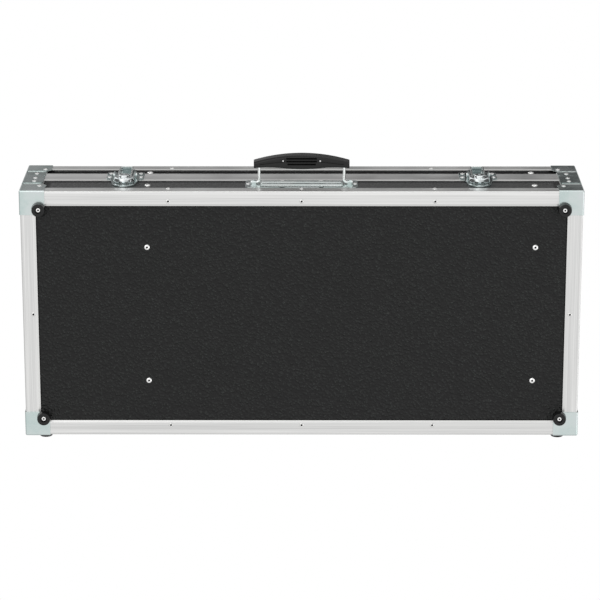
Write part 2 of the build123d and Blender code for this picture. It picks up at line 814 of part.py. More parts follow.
def latch_keeper():
    """The keeper on the lid: a riveted plate, a narrower strip and the lip that the claw holds."""
    ears = Rectangle(latch_ear_width, keeper_ear_height, align=upward)
    strip = Rectangle(keeper_strip_width, keeper_top - keeper_bottom, align=upward)
    outline = fillet(ears.vertices(), latch_corner_radius) + fillet(strip.vertices(), latch_corner_radius)
    outline = Pos(0, keeper_bottom) * outline
    body = extrude(outline, amount=latch_sheet)
    upper = Rectangle(latch_ear_width, lid_height, align=upward)
    body += extrude(outline & (Pos(0, lid_rim_line + panel_play) * upper), amount=-profile_wall)
    lip_top = claw_bar_height - keeper_lip_gap
    half = keeper_lip_width / 2
    lip = slab(-half, half, lip_top - keeper_lip_thickness, lip_top, 0, keeper_lip_top)
    return body + fillet(lip.edges().filter_by(Axis.X).group_by(Axis.Z)[-1], keeper_lip_edge_radius)


def add_latch(name, x):
    """All the pieces of one latch."""
    place = front_wall.location * Pos(x, 0, 0)
    ear_row = latch_plate_top - latch_ear_height / 2
    keeper_row = keeper_bottom + keeper_ear_height / 2
    for side in (-1, 1):
        add_rivet(front_wall, x + side * latch_ear_rivet_x, ear_row, latch_sheet, False)
        add_rivet(front_wall, x + side * keeper_ear_rivet_x, keeper_row, latch_sheet, True)
    nodes[f"latch_{name}_plate"] = place * latch_plate()
    nodes[f"latch_{name}_lever"] = place * latch_lever()
    nodes[f"latch_{name}_pivots"] = [place * pin for pin in latch_pivots()]
    nodes[f"latch_{name}_claw"] = place * latch_claw()
    nodes[f"latch_{name}_claw_pin"] = place * claw_pin()
    nodes[f"latch_{name}_keeper"] = place * latch_keeper()


# Hinges, in the back wall's own frame and centred on X = 0

def hinge_leaf(in_lid):
    """One hinge leaf: a riveted plate with the middle knuckle for the lid or the two end knuckles."""
    half = hinge_width / 2
    middle_half = half - hinge_end_knuckle - hinge_gap
    rim = lid_rim_height if in_lid else base_rim_height
    sign = 1 if in_lid else -1
    z0 = base_height + sign * hinge_gap
    z1 = base_height + sign * (rim - hinge_leaf_end)
    plate = slab(-half, half, min(z0, z1), max(z0, z1), 0, hinge_sheet)
    spans = [(-middle_half, middle_half)] if in_lid else [
        (-half, -half + hinge_end_knuckle), (half - hinge_end_knuckle, half)
    ]
    others = [(-half - cut_margin, -middle_half), (middle_half, half + cut_margin)] if in_lid else [
        (-half + hinge_end_knuckle, half - hinge_end_knuckle)
    ]
    axis = Pos(0, base_height, hinge_axis_rise)
    for x0, x1 in others:
        clear = Cylinder(hinge_knuckle_radius + hinge_sweep_gap, x1 - x0)
        plate -= axis * Pos((x0 + x1) / 2, 0, 0) * Rot(0, 90, 0) * clear
    for x0, x1 in spans:
        barrel = Cylinder(hinge_knuckle_radius, x1 - x0)
        plate += axis * Pos((x0 + x1) / 2, 0, 0) * Rot(0, 90, 0) * barrel
        reach = base_height + sign * hinge_knuckle_radius
        plate += slab(x0, x1, min(base_height, reach), max(base_height, reach), hinge_gap, hinge_sheet)
    play = running_play if in_lid else drill_play
    bore = Cylinder(hinge_pin_radius + play, hinge_width + 2 * cut_margin)
    return plate - axis * Rot(0, 90, 0) * bore


def add_hinges():
    """The leaves and pins of both hinges, with their rivets."""
    for side in (-1, 1):
        for step in (-1, 0, 1):
            a = side * hinge_x + step * hinge_rivet_pitch
            base_row = (base_rim_height - hinge_leaf_end + hinge_knuckle_radius) / 2
            lid_row = (lid_rim_height - hinge_leaf_end + hinge_knuckle_radius) / 2
            add_rivet(back_wall, a, base_height - base_row, hinge_sheet, False)
            add_rivet(back_wall, a, base_height + lid_row, hinge_sheet, True)
    places = [back_wall.location * Pos(side * hinge_x, 0, 0) for side in (-1, 1)]
    pin = Cylinder(hinge_pin_radius, hinge_width + 2 * hinge_pin_proud)
    pin = Pos(0, base_height, hinge_axis_rise) * Rot(0, 90, 0) * pin
    nodes["base_hinge_leaves"] = [place * hinge_leaf(False) for place in places]
    nodes["lid_hinge_leaves"] = [place * hinge_leaf(True) for place in places]
    nodes["hinge_pins"] = [place * pin for place in places]


# Assembly

def add_shell():
    """Panels, profiles and posts of the base and the lid."""
    up = Vector(0, 0, 1)
    down = Vector(0, 0, -1)
    names = ("front", "back", "left", "right")
    base_rim = z_bottom + base_rim_line
    lid_rim = z_bottom + lid_rim_line
    base_edges = frame_bars(edge_section(profile_leg), z_bottom, up)
    lid_edges = frame_bars(edge_section(profile_leg), z_top, down)
    base_rims = frame_bars(rim_section(base_rim_height, False), z_close, down)
    lid_rims = frame_bars(rim_section(lid_rim_height, True), z_close, up)
    base_walls = wall_panels(z_bottom + panel_edge, z_close - closing_wall - panel_play)
    lid_walls = wall_panels(z_close + lid_closing_wall + panel_play, z_top - panel_edge)
    nodes["base_bottom_panel"] = face_panel(z_bottom + profile_wall)
    nodes["lid_top_panel"] = face_panel(z_top - panel_face)
    for index, name in enumerate(names[:2]):
        nodes[f"base_edge_{name}"] = base_edges[index]
        nodes[f"lid_edge_{name}"] = lid_edges[index]
        nodes[f"base_rim_{name}"] = base_rims[index]
        nodes[f"lid_rim_{name}"] = lid_rims[index]
    for index, name in enumerate(names):
        nodes[f"base_{name}_panel"] = base_walls[index]
        nodes[f"lid_{name}_panel"] = lid_walls[index]
    nodes["base_edge_ends"] = list(base_edges[2:])
    nodes["lid_edge_ends"] = list(lid_edges[2:])
    nodes["base_rim_ends"] = list(base_rims[2:])
    nodes["lid_rim_ends"] = list(lid_rims[2:])
    nodes["base_corner_posts"] = corner_posts(z_bottom + profile_leg, base_rim)
    nodes["lid_corner_posts"] = corner_posts(lid_rim, z_top - profile_leg)


def add_corners():
    """Corner braces, closing corners, feet and their rivets."""
    brace = corner_brace()
    nodes["base_corner_braces"] = mirrored_four(at_corner(brace, z_bottom))
    nodes["lid_corner_braces"] = mirrored_four(at_corner(flipped(brace, 0), z_top))
    base_plate = closing_corner(base_closing_corner_height)
    lid_plate = closing_corner(lid_closing_corner_height)
    base_place = z_close - base_closing_corner_height
    nodes["base_closing_corners"] = mirrored_four(at_corner(base_plate, base_place))
    nodes["lid_closing_corners"] = mirrored_four(at_corner(lid_plate, z_close))
    lobe_x = half_width - brace_lobe_place
    lobe_y = half_depth - brace_lobe_place
    high = case_height - brace_lobe_place
    feet = {False: [], True: []}
    screws = {False: base_screws, True: lid_screws}
    holes = {False: base_holes, True: lid_holes}

    def add_foot(wall, a, b, in_lid):
        place = on(wall, a, b, corner_sheet)
        feet[in_lid].append(place * rubber_foot())
        screws[in_lid].append(place * foot_screw())
        drill(place, foot_screw_radius, corner_sheet + panel_face, holes[in_lid])

    for x in (-lobe_x, lobe_x):
        for y in (-lobe_y, lobe_y):
            add_foot(bottom_wall, x, y, False)
            add_rivet(top_wall, x, y, corner_sheet, True)
        for height, in_lid in ((brace_lobe_place, False), (high, True)):
            add_foot(back_wall, x, height, in_lid)
            add_rivet(front_wall, x, height, corner_sheet, in_lid)
    for wall in (left_wall, right_wall):
        for y in (-lobe_y, lobe_y):
            add_rivet(wall, y, brace_lobe_place, corner_sheet, False)
            add_rivet(wall, y, high, corner_sheet, True)
    nodes["base_feet"] = feet[False]
    nodes["lid_feet"] = feet[True]
    base_row = base_height - closing_rivet_edge
    lid_row = base_height + lid_closing_corner_height / 2
    for wall, half in (
        (front_wall, half_width), (back_wall, half_width), (left_wall, half_depth), (right_wall, half_depth)
    ):
        for a in (closing_rivet_inset - half, half - closing_rivet_inset):
            for row in (base_row - closing_rivet_pitch, base_row):
                add_rivet(wall, a, row, corner_sheet, False)
            add_rivet(wall, a, lid_row, corner_sheet, True)


def add_profile_rivets():
    """The rivets along the edge profiles."""
    high = case_height - profile_rivet_inset
    across = half_depth - profile_rivet_inset
    along = half_width - profile_rivet_inset
    for x in (-profile_rivet_x, 0, profile_rivet_x):
        for wall in (front_wall, back_wall):
            add_rivet(wall, x, profile_rivet_inset, 0, False)
            add_rivet(wall, x, high, 0, True)
        for y in (-across, across):
            add_rivet(bottom_wall, x, y, 0, False)
            add_rivet(top_wall, x, y, 0, True)
    for wall in (left_wall, right_wall):
        add_rivet(wall, 0, profile_rivet_inset, 0, False)
        add_rivet(wall, 0, high, 0, True)
    for x in (-along, along):
        add_rivet(bottom_wall, x, 0, 0, False)
        add_rivet(top_wall, x, 0, 0, True)


def add_partitions():
    """Partition walls of base and lid, with their screws and the foam pads."""
    for name, x in (("left", partition_left_x), ("right", partition_right_x)):
        base_wall = partition(x, base_height, base_rim_height)
        lid_wall = partition(x, lid_height, lid_rim_height)
        nodes[f"base_partition_{name}"] = Pos(0, 0, z_bottom) * base_wall
        nodes[f"lid_partition_{name}"] = Pos(0, 0, z_top) * flipped(lid_wall, 0)
        high = case_height - partition_screw_wall_height
        for y in (-partition_screw_spacing / 2, partition_screw_spacing / 2):
            add_partition_screw(bottom_wall, x, y, False)
            add_partition_screw(top_wall, x, y, True)
        for wall, a in ((front_wall, x), (back_wall, -x)):
            add_partition_screw(wall, a, partition_screw_wall_height, False)
            add_partition_screw(wall, a, high, True)
    base_foam = z_bottom + lip_face + foam_gap
    lid_foam = z_top - lip_face - foam_gap
    nodes["base_foam"] = foam_pads(base_foam, base_foam + base_foam_thickness)
    nodes["lid_foam"] = foam_pads(lid_foam - lid_foam_thickness, lid_foam)


def add_handle():
    """The handle's plate, arms, grip and pins."""
    for side in (-1, 1):
        rivet_seat = handle_plate_sheet - profile_wall
        add_rivet(front_wall, side * handle_end_rivet_x, handle_height, rivet_seat, False)
    rods = [arm_rod(side, handle_arm_radius + grip_rod_play) for side in (-1, 1)]
    pin_length = grip_width - 2 * grip_slot_depth + 2 * grip_pin_proud
    hole_length = grip_width + 2 * cut_margin
    pins = [grip_pin(side, grip_pin_radius, pin_length) for side in (-1, 1)]
    pin_holes = [grip_pin(side, grip_pin_radius + drill_play, hole_length) for side in (-1, 1)]
    nodes["handle_plate"] = handle_plate()
    nodes["handle_grip"] = handle_grip(rods, pin_holes)
    arms = []
    for side, hole in zip((-1, 1), pin_holes):
        arms.append(front_wall.location * (arm_rod(side, handle_arm_radius) - hole))
    nodes["handle_arms"] = arms
    nodes["handle_pins"] = [front_wall.location * pin for pin in pins]


def drill_pieces():
    """Cuts the fasteners' holes in every plate, profile and panel that they pass through."""
    moving = ("lever", "claw", "pivots", "arms", "grip", "pins", "foam", "feet")
    for name in list(nodes):
        if any(word in name for word in moving):
            continue
        holes = lid_holes if name.startswith("lid") or name.endswith("keeper") else base_holes
        pieces = nodes[name] if isinstance(nodes[name], list) else [nodes[name]]
        nodes[name] = [drilled(piece, holes) for piece in pieces]


add_shell()
add_corners()
add_profile_rivets()
add_partitions()
add_handle()
add_latch("left", -latch_x)
add_latch("right", latch_x)
add_hinges()
drill_pieces()
nodes["base_rivets"] = base_rivets
nodes["lid_rivets"] = lid_rivets
nodes["base_screws"] = base_screws
nodes["lid_screws"] = lid_screws

for name, shape in nodes.items():
    solids = solids_of(shape)
    whole = solids[0] if len(solids) == 1 else Compound(children=solids)
    export_step(whole, f"parts/{name}.step")
print(len(nodes), "nodes")
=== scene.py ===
import math
import bmesh
import bpy
from mathutils import Matrix, Vector


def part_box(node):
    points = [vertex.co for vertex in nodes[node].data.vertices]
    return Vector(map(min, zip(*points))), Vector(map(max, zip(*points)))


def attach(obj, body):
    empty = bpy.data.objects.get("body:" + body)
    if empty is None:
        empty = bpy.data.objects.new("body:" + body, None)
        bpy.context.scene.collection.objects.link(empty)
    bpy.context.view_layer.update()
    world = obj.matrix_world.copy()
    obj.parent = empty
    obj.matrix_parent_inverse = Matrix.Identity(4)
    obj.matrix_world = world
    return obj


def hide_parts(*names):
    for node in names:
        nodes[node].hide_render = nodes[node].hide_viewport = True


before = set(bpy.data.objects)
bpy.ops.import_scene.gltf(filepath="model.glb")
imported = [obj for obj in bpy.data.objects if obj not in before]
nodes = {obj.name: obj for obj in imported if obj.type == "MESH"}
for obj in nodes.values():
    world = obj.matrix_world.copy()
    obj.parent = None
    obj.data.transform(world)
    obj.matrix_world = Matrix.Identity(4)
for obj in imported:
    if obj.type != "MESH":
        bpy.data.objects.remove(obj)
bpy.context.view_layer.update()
scene = bpy.context.scene
scene.view_settings.view_transform = "Standard"
print("frame loaded:", len(nodes), "nodes")


# Node helpers

def addNode(tree, kind, inputs=None, **settings):
    node = tree.nodes.new(kind)
    for key, value in settings.items():
        setattr(node, key, value)
    for key, value in (inputs or {}).items():
        if isinstance(value, bpy.types.NodeSocket):
            tree.links.new(value, node.inputs[key])
        else:
            node.inputs[key].default_value = value
    return node


def startMaterial(name):
    material = bpy.data.materials.new(name)
    material.use_nodes = True
    tree = material.node_tree
    tree.nodes.clear()
    shader = addNode(tree, "ShaderNodeBsdfPrincipled")
    addNode(tree, "ShaderNodeOutputMaterial", {"Surface": shader.outputs["BSDF"]})
    return material, tree, shader


def objectPoint(tree, scale):
    coords = addNode(tree, "ShaderNodeTexCoord")
    mapping = addNode(tree, "ShaderNodeMapping", {"Vector": coords.outputs["Object"], "Scale": scale})
    return mapping.outputs["Vector"]


def noise(tree, point, size, detail=3.0, rough=0.5):
    # size is the pattern's size in metres where the point isn't scaled
    made = addNode(tree, "ShaderNodeTexNoise", {
        "Vector": point, "Scale": 1 / size, "Detail": detail, "Roughness": rough})
    return made.outputs["Fac"]


def ramp(tree, factor, stops):
    made = addNode(tree, "ShaderNodeValToRGB", {"Fac": factor})
    elements = made.color_ramp.elements
    while len(elements) < len(stops):
        elements.new(0.5)
    for element, (place, tone) in zip(elements, stops):
        element.position = place
        element.color = (*tone, 1)
    return made.outputs["Color"]


def spread(tree, factor, low, high, start=0.3, end=0.7):
    made = addNode(tree, "ShaderNodeMapRange", {
        "Value": factor, "From Min": start, "From Max": end, "To Min": low, "To Max": high})
    return made.outputs["Result"]


def bump(tree, height, depth, under=None):
    inputs = {"Height": height, "Distance": depth, "Strength": 1.0}
    if under is not None:
        inputs["Normal"] = under
    return addNode(tree, "ShaderNodeBump", inputs).outputs["Normal"]


def vectorMath(tree, operation, first, second=None):
    inputs = {0: first} if second is None else {0: first, 1: second}
    return addNode(tree, "ShaderNodeVectorMath", inputs, operation=operation).outputs[0]


def largestPart(tree, vector):
    parts = addNode(tree, "ShaderNodeSeparateXYZ", {"Vector": vector})
    larger = addNode(tree, "ShaderNodeMath", {0: parts.outputs[0], 1: parts.outputs[1]}, operation="MAXIMUM")
    largest = addNode(tree, "ShaderNodeMath", {0: larger.outputs[0], 1: parts.outputs[2]}, operation="MAXIMUM")
    return largest.outputs[0]


def pastBlock(tree, middle, reach):
    # how far a point lies outside a block, or inside it where the value is negative
    offset = vectorMath(tree, "SUBTRACT", objectPoint(tree, (1, 1, 1)), middle)
    return largestPart(tree, vectorMath(tree, "SUBTRACT", vectorMath(tree, "ABSOLUTE", offset), reach))


# Materials

aluminiumLook = {
    "darkTone": (0.61, 0.61, 0.605),
    "lightTone": (0.81, 0.81, 0.80),
    "bandSize": 0.0040,
    "lineSize": 0.0007,
    "alongStretch": 0.004,
    "smudgeSize": 0.06,
    "roughness": (0.28, 0.40),
    "lineDepth": 0.00003,
    "bevelHighlightTone": (0.70, 0.70, 0.69),  # painted highlight: the narrow bevel along each free edge gets a base colour of its own
    "bevelFacing": (0.965, 0.985),  # a face turned further than this from the axes is a bevel
    "mixRange": (0.75, 1.25),
}


def makeAluminium(name, axis):
    look = aluminiumLook
    material, tree, shader = startMaterial(name)
    stretch = [1.0, 1.0, 1.0]
    stretch[axis] = look["alongStretch"]
    along = objectPoint(tree, stretch)
    bands = noise(tree, along, look["bandSize"], 1.0)
    lines = noise(tree, along, look["lineSize"], 2.0)
    smudges = noise(tree, objectPoint(tree, (1, 1, 1)), look["smudgeSize"], 4.0)
    mixed = addNode(tree, "ShaderNodeMath", {0: bands, 1: lines}, operation="ADD")
    tone = ramp(tree, spread(tree, mixed.outputs[0], 0, 1, *look["mixRange"]), [
        (0.0, look["darkTone"]), (1.0, look["lightTone"])])
    surface = addNode(tree, "ShaderNodeNewGeometry")
    facing = largestPart(tree, vectorMath(tree, "ABSOLUTE", surface.outputs["True Normal"]))
    # faces turned off the axes are bevels and take the highlight tone in their base colour: painted highlight
    bevelHighlightMask = spread(tree, facing, 1.0, 0.0, *look["bevelFacing"])
    finished = addNode(tree, "ShaderNodeMix", {
        "Factor": bevelHighlightMask, "A": tone, "B": (*look["bevelHighlightTone"], 1)}, data_type="RGBA")
    tree.links.new(finished.outputs["Result"], shader.inputs["Base Color"])
    tree.links.new(spread(tree, smudges, *look["roughness"]), shader.inputs["Roughness"])
    tree.links.new(bump(tree, mixed.outputs[0], look["lineDepth"]), shader.inputs["Normal"])
    shader.inputs["Metallic"].default_value = 1.0
    return material


zincLook = {
    "tones": [(0.30, (0.50, 0.60, 0.585)), (0.52, (0.60, 0.665, 0.655)), (0.74, (0.64, 0.665, 0.68))],
    "cloudSize": 0.035,
    "grainSize": 0.0011,
    "roughness": (0.16, 0.26),
    "grainDepth": 0.00002,
    "edge": 0.0004,  # how far a sheet's cut edge is broken
}
chromeLook = {
    "tones": [(0.30, (0.66, 0.72, 0.72)), (0.55, (0.80, 0.83, 0.84)), (0.80, (0.78, 0.80, 0.86))],
    "cloudSize": 0.012,
    "grainSize": 0.0009,
    "roughness": (0.05, 0.10),
    "grainDepth": 0.00001,
    "edge": 0.0012,
}
steelLook = {
    "tones": [(0.30, (0.82, 0.82, 0.81)), (0.70, (0.93, 0.93, 0.92))],
    "cloudSize": 0.006,
    "grainSize": 0.0007,
    "roughness": (0.14, 0.24),
    "grainDepth": 0.00001,
}
wireLook = {
    "tones": [(0.30, (0.80, 0.83, 0.82)), (0.70, (0.92, 0.94, 0.93))],
    "cloudSize": 0.010,
    "grainSize": 0.0009,
    "roughness": (0.14, 0.22),
    "grainDepth": 0.00001,
}
rivetLook = {
    "tones": [(0.30, (0.70, 0.70, 0.69)), (0.70, (0.84, 0.84, 0.83))],
    "cloudSize": 0.006,
    "grainSize": 0.0007,
    "roughness": (0.16, 0.26),
    "grainDepth": 0.00001,
}
# a lighter copy of the plate's zinc for its pressed rib: painted highlight
ribHighlightLook = {
    "tones": [(0.30, (0.78, 0.86, 0.85)), (0.70, (0.90, 0.95, 0.94))],
    "cloudSize": 0.020,
    "grainSize": 0.0009,
    "roughness": (0.18, 0.26),
    "grainDepth": 0.00001,
    "edge": 0.0004,
}
# darker than the plain zinc, half-way to the dark that its flats mirror: partly the plate's own tone, partly
# painted reflection
latchPlateLook = {
    "tones": [(0.30, (0.36, 0.43, 0.425)), (0.60, (0.46, 0.52, 0.52)), (0.85, (0.56, 0.61, 0.63))],
    "cloudSize": 0.010,
    "grainSize": 0.0009,
    "roughness": (0.05, 0.10),
    "grainDepth": 0.00001,
    "edge": 0.0012,
}
# a darker copy of the latch plate's zinc for the keeper: painted dark reflection
keeperDarkReflectionLook = dict(latchPlateLook, tones=[
    (0.30, (0.20, 0.25, 0.25)), (0.60, (0.27, 0.32, 0.32)), (0.85, (0.34, 0.38, 0.40))])
clawLook = dict(wireLook, edge=0.0013, roughness=(0.10, 0.16))
# a darker copy of the braces' zinc for the closing corners: painted dark reflection
closingDarkReflectionLook = dict(zincLook, edge=0.0007, tones=[
    (0.30, (0.33, 0.41, 0.40)), (0.52, (0.42, 0.49, 0.48)), (0.74, (0.48, 0.52, 0.53))])


def makeMetal(name, look):
    material, tree, shader = startMaterial(name)
    point = objectPoint(tree, (1, 1, 1))
    clouds = noise(tree, point, look["cloudSize"], 4.0, 0.6)
    grain = noise(tree, point, look["grainSize"], 2.0)
    tree.links.new(ramp(tree, clouds, look["tones"]), shader.inputs["Base Color"])
    tree.links.new(spread(tree, clouds, *look["roughness"]), shader.inputs["Roughness"])
    broken = None
    if "edge" in look:
        broken = addNode(tree, "ShaderNodeBevel", {"Radius": look["edge"]}, samples=4).outputs["Normal"]
    tree.links.new(bump(tree, grain, look["grainDepth"], broken), shader.inputs["Normal"])
    shader.inputs["Metallic"].default_value = 1.0
    return material


panelLook = {
    "tones": [(0.10, (0.001, 0.001, 0.001)), (0.32, (0.003, 0.0035, 0.0032)), (0.60, (0.036, 0.0405, 0.038))],
    "pebbleSize": 0.0034,
    "pebbleSoftness": 0.6,
    "pebbleRange": (0.1, 0.75),
    "grainSize": 0.0010,
    "patchSize": 0.05,
    "pebbleDepth": 0.0012,
    "grainDepth": 0.00008,
    "roughness": (0.44, 0.50),
    # the lid's walls get less gloss and the base's more, so one laminate reads darker on the lid and lighter on the
    # base: painted shade and painted sheen
    "specular": {"face": 0.32, "baseWall": 0.75, "lidWall": 0.08},
    "frameShadeLine": 0.0018,  # painted shadow where the panel goes under its frame
    "wallFrameShadeLine": 0.0120,
    "frameShadeCore": 0.7,  # the share of the line's width that is fully dark
    "noBorder": 1.0,  # a reach past any panel, in metres
    "frameShadeTone": (0.002, 0.002, 0.002),
    "frameShadeRoughness": 1.0,
}


def makePanelLaminate(name, middle, reach, frameShadeLine, specular):
    # middle and reach give the field that the frame leaves bare; an axis of no reach is the panel's own normal
    look = panelLook
    material, tree, shader = startMaterial(name)
    point = objectPoint(tree, (1, 1, 1))
    warp = noise(tree, point, 2 * look["pebbleSize"], 2.0)
    scaled = addNode(tree, "ShaderNodeVectorMath", {0: warp, "Scale": look["pebbleSize"]}, operation="SCALE")
    bent = vectorMath(tree, "ADD", point, scaled.outputs[0])
    pebbles = addNode(tree, "ShaderNodeTexVoronoi", {
        "Vector": bent, "Scale": 1 / look["pebbleSize"], "Smoothness": look["pebbleSoftness"]}, feature="SMOOTH_F1")
    grain = noise(tree, point, look["grainSize"], 3.0)
    patches = noise(tree, point, look["patchSize"], 3.0)
    crown = spread(tree, pebbles.outputs["Distance"], 1.0, 0.0, *look["pebbleRange"])
    both = addNode(tree, "ShaderNodeMath", {0: crown, 1: grain}, operation="MULTIPLY")
    # the border of the bare field is darkened and dulled: painted shadow
    border = pastBlock(tree, middle, [size or look["noBorder"] for size in reach])
    shaded = spread(tree, border, 0.0, 1.0, -frameShadeLine, -look["frameShadeCore"] * frameShadeLine)
    tone = addNode(tree, "ShaderNodeMix", {
        "Factor": shaded, "A": ramp(tree, both.outputs[0], look["tones"]), "B": (*look["frameShadeTone"], 1)},
        data_type="RGBA")
    tree.links.new(tone.outputs["Result"], shader.inputs["Base Color"])
    dull = addNode(tree, "ShaderNodeMix", {
        "Factor": shaded, "A": spread(tree, patches, *look["roughness"]), "B": look["frameShadeRoughness"]})
    tree.links.new(dull.outputs["Result"], shader.inputs["Roughness"])
    coarse = bump(tree, crown, look["pebbleDepth"])
    tree.links.new(bump(tree, grain, look["grainDepth"], coarse), shader.inputs["Normal"])
    shader.inputs["Specular IOR Level"].default_value = specular
    return material


rubberLook = {
    "tones": [(0.3, (0.006, 0.006, 0.006)), (0.7, (0.014, 0.014, 0.0145))],
    "cloudSize": 0.004, "grainSize": 0.0004, "grainDepth": 0.00002, "roughness": (0.20, 0.30), "specular": 0.3,
}
gripLook = {
    "tones": [(0.3, (0.006, 0.006, 0.006)), (0.7, (0.012, 0.012, 0.012))],
    "cloudSize": 0.02, "grainSize": 0.0007, "grainDepth": 0.00005, "roughness": (0.24, 0.34), "specular": 0.32,
    "grooveShadeReach": (0.0230, 0.0062, 0.0077),  # half the size of the block in which the grooves are painted black as shade
    "grooveMiddle": 0.0352,  # how far the grooves' middle stands off the wall
    "grooveShadeEdge": 0.0003,
    "grooveShadeTone": (0.001, 0.001, 0.001),
    "grooveShadeRoughness": 0.9,
}
# near black inside rivet holes and screw sockets stands in for the shade there: painted shade
holeShadeLook = {
    "tones": [(0.3, (0.006, 0.006, 0.006)), (0.7, (0.012, 0.012, 0.012))],
    "cloudSize": 0.001, "grainSize": 0.0004, "grainDepth": 0.00001, "roughness": (0.7, 0.8), "specular": 0.1,
}
foamLook = {
    "tones": [(0.35, (0.022, 0.022, 0.024)), (0.65, (0.062, 0.062, 0.066))],
    "cloudSize": 0.0016, "grainSize": 0.0009, "grainDepth": 0.0005, "roughness": (0.9, 1.0), "specular": 0.15,
}


def makeDull(name, look):
    material, tree, shader = startMaterial(name)
    point = objectPoint(tree, (1, 1, 1))
    clouds = noise(tree, point, look["cloudSize"], 4.0, 0.6)
    grain = noise(tree, point, look["grainSize"], 3.0)
    tree.links.new(ramp(tree, clouds, look["tones"]), shader.inputs["Base Color"])
    tree.links.new(spread(tree, clouds, *look["roughness"]), shader.inputs["Roughness"])
    tree.links.new(bump(tree, grain, look["grainDepth"]), shader.inputs["Normal"])
    shader.inputs["Specular IOR Level"].default_value = look["specular"]
    return material


def makeGripPlastic():
    look = gripLook
    material = makeDull("mouldedGrip", look)
    tree = material.node_tree
    shader = tree.nodes["Principled BSDF"]
    plain = shader.inputs["Base Color"].links[0].from_socket
    rough = shader.inputs["Roughness"].links[0].from_socket
    low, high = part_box("handle_grip")
    middle = (low + high) / 2
    middle.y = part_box("base_rim_front")[0].y - look["grooveMiddle"]
    # the grooves' floors and walls are painted near black and dulled: painted shade
    border = pastBlock(tree, middle, look["grooveShadeReach"])
    shaded = spread(tree, border, 1.0, 0.0, -look["grooveShadeEdge"], look["grooveShadeEdge"])
    tone = addNode(tree, "ShaderNodeMix", {
        "Factor": shaded, "A": plain, "B": (*look["grooveShadeTone"], 1)}, data_type="RGBA")
    tree.links.new(tone.outputs["Result"], shader.inputs["Base Color"])
    dull = addNode(tree, "ShaderNodeMix", {"Factor": shaded, "A": rough, "B": look["grooveShadeRoughness"]})
    tree.links.new(dull.outputs["Result"], shader.inputs["Roughness"])
    return material


woodLook = {
    "tones": [(0.30, (0.018, 0.015, 0.013)), (0.60, (0.045, 0.038, 0.032)), (0.85, (0.075, 0.063, 0.052))],
    "grainSize": 0.0022,
    "alongStretch": 0.03,
    "roughness": (0.5, 0.7),
    "grainDepth": 0.0001,
}


def makeStainedPlywood():
    look = woodLook
    material, tree, shader = startMaterial("stainedPlywood")
    grain = noise(tree, objectPoint(tree, (1, look["alongStretch"], 1)), look["grainSize"], 5.0, 0.6)
    tree.links.new(ramp(tree, grain, look["tones"]), shader.inputs["Base Color"])
    tree.links.new(spread(tree, grain, *look["roughness"]), shader.inputs["Roughness"])
    tree.links.new(bump(tree, grain, look["grainDepth"]), shader.inputs["Normal"])
    return material


def dress(material, *names):
    for name in names:
        for materialSlot in nodes[name].material_slots:
            materialSlot.material = material


alongX = makeAluminium("extrusionAlongX", 0)
alongY = makeAluminium("extrusionAlongY", 1)
alongZ = makeAluminium("extrusionAlongZ", 2)
zinc = makeMetal("zincPlatedSheet", zincLook)
chrome = makeMetal("brightPlatedLatch", chromeLook)
steel = makeMetal("platedFastener", steelLook)
rivetMetal = makeMetal("rivetMetal", rivetLook)
wire = makeMetal("brightWire", wireLook)
holeShadeMaterial = makeDull("paintedHoleShade", holeShadeLook)
rubber = makeDull("blackRubber", rubberLook)
gripPlastic = makeGripPlastic()
ribHighlightZinc = makeMetal("ribZincPaintedHighlight", ribHighlightLook)
latchZinc = makeMetal("latchZincPlate", latchPlateLook)
keeperZinc = makeMetal("keeperZincPlate", keeperDarkReflectionLook)
clawSteel = makeMetal("polishedClaw", clawLook)
closingZinc = makeMetal("closingCornerZinc", closingDarkReflectionLook)
foam = makeDull("openCellFoam", foamLook)
plywood = makeStainedPlywood()

frameWidth = 0.022  # how much of a panel its frame covers
postWidth = 0.030
for half in ("base", "lid"):
    face = "bottom" if half == "base" else "top"
    postLow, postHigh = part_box(f"{half}_corner_posts")
    middle = (postLow + postHigh) / 2
    reach = (postHigh - postLow) / 2
    faceShadeLine, wallShadeLine = panelLook["frameShadeLine"], panelLook["wallFrameShadeLine"]
    faceGloss, wallGloss = panelLook["specular"]["face"], panelLook["specular"][f"{half}Wall"]
    dress(makePanelLaminate(f"{half}Laminate", middle, (reach.x - frameWidth, reach.y - frameWidth, 0), faceShadeLine,
                            faceGloss), f"{half}_{face}_panel")
    # a wall's painted shadow line lies beside the closing rim, and its other one is under the edge profile
    if half == "base":
        wallLow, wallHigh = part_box("base_edge_front")[1].z - wallShadeLine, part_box("base_rim_front")[0].z
    else:
        wallLow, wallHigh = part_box("lid_rim_front")[1].z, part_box("lid_edge_front")[0].z + wallShadeLine
    middle.z = (wallLow + wallHigh) / 2
    reach.z = (wallHigh - wallLow) / 2
    dress(makePanelLaminate(f"{half}LongLaminate", middle, (reach.x - postWidth, 0, reach.z), wallShadeLine, wallGloss),
          f"{half}_front_panel", f"{half}_back_panel")
    dress(makePanelLaminate(f"{half}EndLaminate", middle, (0, reach.y - postWidth, reach.z), wallShadeLine, wallGloss),
          f"{half}_left_panel", f"{half}_right_panel")
    dress(alongX, f"{half}_edge_front", f"{half}_edge_back", f"{half}_rim_front", f"{half}_rim_back")
    dress(alongY, f"{half}_edge_ends", f"{half}_rim_ends")
    dress(alongZ, f"{half}_corner_posts")
    dress(zinc, f"{half}_corner_braces", f"{half}_hinge_leaves")
    dress(closingZinc, f"{half}_closing_corners")
    dress(rubber, f"{half}_feet")
    dress(plywood, f"{half}_partition_left", f"{half}_partition_right")
    dress(foam, f"{half}_foam")
for side in ("left", "right"):
    dress(chrome, f"latch_{side}_lever")
    dress(clawSteel, f"latch_{side}_claw")
    dress(latchZinc, f"latch_{side}_plate")
    dress(keeperZinc, f"latch_{side}_keeper")
    dress(steel, f"latch_{side}_pivots", f"latch_{side}_claw_pin")
